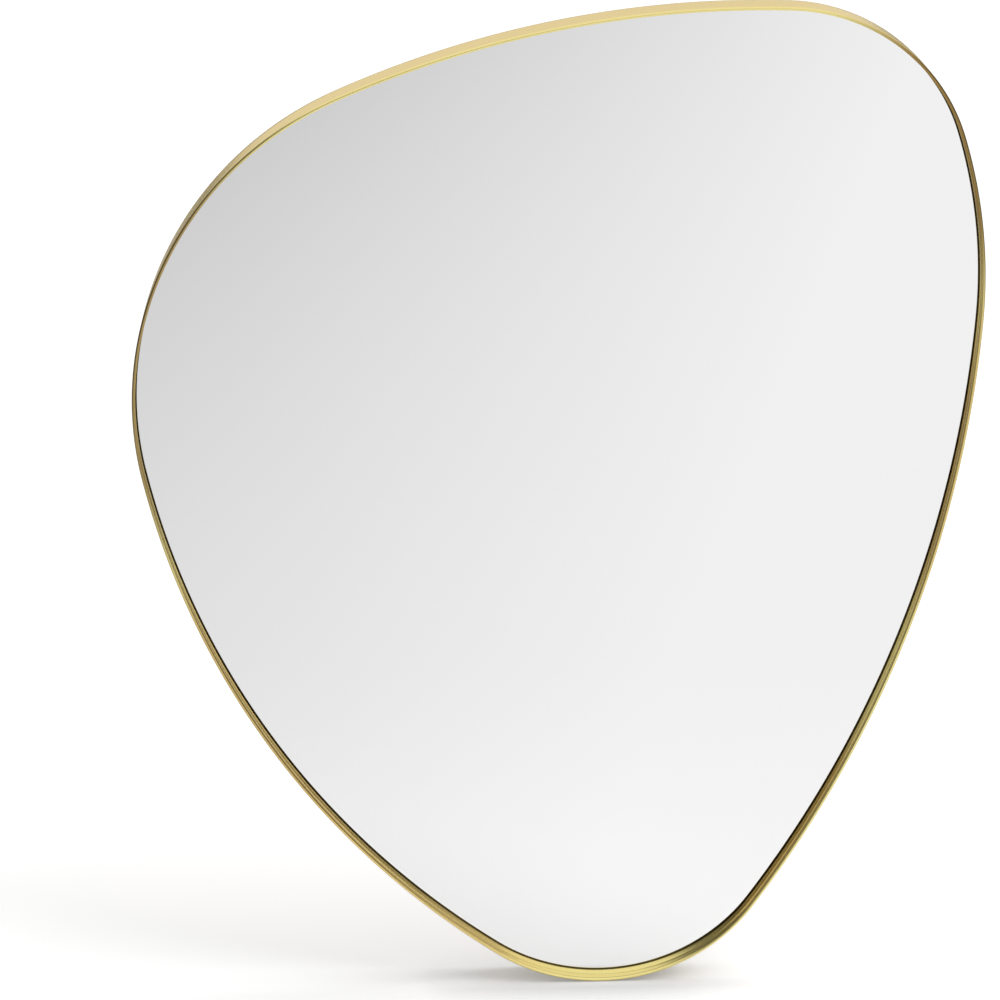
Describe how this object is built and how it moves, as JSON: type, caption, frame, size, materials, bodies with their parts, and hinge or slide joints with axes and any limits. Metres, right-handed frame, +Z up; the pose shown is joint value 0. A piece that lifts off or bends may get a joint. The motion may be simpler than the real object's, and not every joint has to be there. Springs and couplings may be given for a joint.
{
  "type": "irregular shaped wall mirror",
  "caption": "Free-form wall mirror: a deep brass-finished metal band with a beaded front edge round a recessed glass, hung by D-rings on its backing board.",
  "frame": {"origin": "in the plane of the wall, midway between the two wall hooks that carry the hanger rings", "axes": "+Z up, +Y into the wall, so the glass faces -Y, and +X to the right seen from the front"},
  "size_m": [0.6497, 0.032, 0.8],
  "materials": {
    "brass_finish": "sheet steel with a brushed brass-coloured plating",
    "silvered_glass": "silvered float glass, ground edge",
    "vinyl_film": "grey vinyl safety film",
    "foam_tape": "white double-sided foam tape",
    "fibreboard": "bare medium-density fibreboard",
    "zinc_steel": "bright zinc-plated steel",
    "black_rubber": "matt black rubber"
  },
  "bodies": {
    "mirror": {"frame_band": "brass_finish", "mirror_glass": "silvered_glass", "safety_film": "vinyl_film", "foam_pad_1": "foam_tape", "foam_pad_2": "foam_tape", "foam_pad_3": "foam_tape", "foam_pad_4": "foam_tape", "foam_pad_5": "foam_tape", "foam_pad_6": "foam_tape", "backing_board": "fibreboard", "angle_bracket_1": "zinc_steel", "angle_bracket_2": "zinc_steel", "angle_bracket_3": "zinc_steel", "angle_bracket_4": "zinc_steel", "angle_bracket_5": "zinc_steel", "angle_bracket_6": "zinc_steel", "angle_bracket_7": "zinc_steel", "angle_bracket_8": "zinc_steel", "bracket_screw_1": "zinc_steel", "bracket_screw_2": "zinc_steel", "bracket_screw_3": "zinc_steel", "bracket_screw_4": "zinc_steel", "bracket_screw_5": "zinc_steel", "bracket_screw_6": "zinc_steel", "bracket_screw_7": "zinc_steel", "bracket_screw_8": "zinc_steel", "hanger_strap_left": "zinc_steel", "hanger_screw_left_1": "zinc_steel", "hanger_screw_left_2": "zinc_steel", "hanger_strap_right": "zinc_steel", "hanger_screw_right_1": "zinc_steel", "hanger_screw_right_2": "zinc_steel", "wall_bumper_1": "black_rubber", "wall_bumper_2": "black_rubber", "wall_bumper_3": "black_rubber", "wall_bumper_4": "black_rubber"},
    "ring_left": {"hanger_ring_left": "zinc_steel"},
    "ring_right": {"hanger_ring_right": "zinc_steel"}
  },
  "joints": [
    {"name": "ring_left_hinge", "type": "hinge", "parent": "mirror", "child": "ring_left", "pos_m": [-0.17, -0.007, -0.013], "axis": [1, 0, 0], "range_deg": [0, 180]},
    {"name": "ring_right_hinge", "type": "hinge", "parent": "mirror", "child": "ring_right", "pos_m": [0.17, -0.007, -0.013], "axis": [1, 0, 0], "range_deg": [0, 180]}
  ]
}
